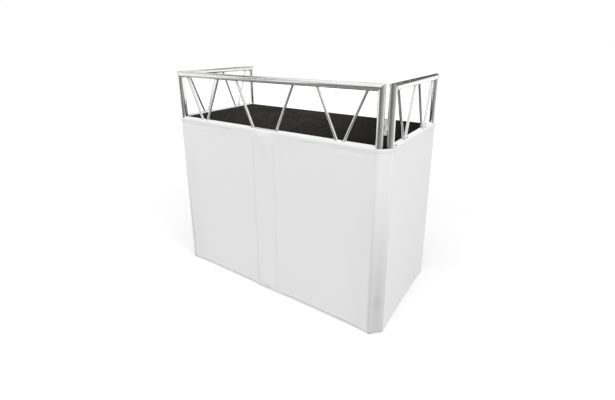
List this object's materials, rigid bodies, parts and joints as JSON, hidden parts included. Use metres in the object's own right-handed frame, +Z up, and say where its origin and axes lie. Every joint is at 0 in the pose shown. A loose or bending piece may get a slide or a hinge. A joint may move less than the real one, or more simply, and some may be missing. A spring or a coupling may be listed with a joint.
{
  "type": "dj booth",
  "caption": "Folding tube-frame DJ booth with a zigzag guard rail, a black carpeted table and a white stretch cover on the front and sides.",
  "frame": {"origin": "on the floor under the middle of the booth's box", "axes": "+X to the right as the audience sees the front, +Y from the front to the open back, +Z up"},
  "size_m": [1.2466, 0.6284, 1.105],
  "materials": {
    "tube_aluminium": "extruded tube, lightly brushed",
    "brace_aluminium": "drawn rod, lightly brushed",
    "hinge_steel": "zinc plated",
    "rubber": "moulded",
    "plug_plastic": "moulded",
    "table_wood": "black stained plywood",
    "carpet": "needle-punched carpet",
    "stretch_cloth": "white stretch knit"
  },
  "bodies": {
    "front_left": {"front_left_end_post": "tube_aluminium", "front_left_top_rail": "tube_aluminium", "front_left_mid_rail": "tube_aluminium", "front_left_bottom_rail": "tube_aluminium", "front_left_centre_post": "tube_aluminium", "front_left_v_brace": "brace_aluminium", "front_left_diagonal_brace": "brace_aluminium", "front_left_table_ledge": "tube_aluminium", "front_left_feet": "rubber", "front_left_rail_plugs": "plug_plastic", "front_left_corner_knuckles": "hinge_steel", "left_corner_hinge_pins": "hinge_steel", "front_left_pivot_straps": "hinge_steel", "front_left_strap_screws": "hinge_steel", "centre_pivot_bolts": "hinge_steel", "centre_pivot_nuts": "hinge_steel", "front_left_cover": "stretch_cloth", "centre_cover_strip": "stretch_cloth", "left_corner_cover_strip": "stretch_cloth"},
    "front_right": {"front_right_end_post": "tube_aluminium", "front_right_top_rail": "tube_aluminium", "front_right_mid_rail": "tube_aluminium", "front_right_bottom_rail": "tube_aluminium", "front_right_centre_post": "tube_aluminium", "front_right_v_brace": "brace_aluminium", "front_right_diagonal_brace": "brace_aluminium", "front_right_table_ledge": "tube_aluminium", "front_right_feet": "rubber", "front_right_rail_plugs": "plug_plastic", "front_right_corner_knuckles": "hinge_steel", "right_corner_hinge_pins": "hinge_steel", "front_right_pivot_straps": "hinge_steel", "front_right_strap_screws": "hinge_steel", "front_right_cover": "stretch_cloth", "right_corner_cover_strip": "stretch_cloth"},
    "left_side": {"left_side_front_post": "tube_aluminium", "left_side_rear_post": "tube_aluminium", "left_side_top_rail": "tube_aluminium", "left_side_mid_rail": "tube_aluminium", "left_side_bottom_rail": "tube_aluminium", "left_side_front_v_brace": "brace_aluminium", "left_side_rear_v_brace": "brace_aluminium", "left_side_table_ledge": "tube_aluminium", "left_side_feet": "rubber", "left_side_cover": "stretch_cloth", "left_side_knuckles": "hinge_steel"},
    "right_side": {"right_side_front_post": "tube_aluminium", "right_side_rear_post": "tube_aluminium", "right_side_top_rail": "tube_aluminium", "right_side_mid_rail": "tube_aluminium", "right_side_bottom_rail": "tube_aluminium", "right_side_front_v_brace": "brace_aluminium", "right_side_rear_v_brace": "brace_aluminium", "right_side_table_ledge": "tube_aluminium", "right_side_feet": "rubber", "right_side_cover": "stretch_cloth", "right_side_knuckles": "hinge_steel"},
    "table": {"table_board": "table_wood", "table_carpet": "carpet"}
  },
  "joints": [
    {"name": "centre_fold", "type": "hinge", "parent": "front_left", "child": "front_right", "pos_m": [0, -0.3081, 0.45], "axis": [0, 0, -1], "range_deg": [0, 180], "deforming": ["centre_cover_strip"]},
    {"name": "left_side_swing", "type": "hinge", "parent": "front_left", "child": "left_side", "pos_m": [-0.591, -0.2741, 0.55], "axis": [0, 0, 1], "range_deg": [0, 90], "deforming": ["left_corner_cover_strip"]},
    {"name": "right_side_swing", "type": "hinge", "parent": "front_right", "child": "right_side", "pos_m": [0.591, -0.2741, 0.55], "axis": [0, 0, -1], "range_deg": [0, 90], "deforming": ["right_corner_cover_strip"]},
    {"name": "table_lift", "type": "slide", "parent": "front_left", "child": "table", "axis": [0, 0, 1], "range_m": [0, 0.3]}
  ]
}
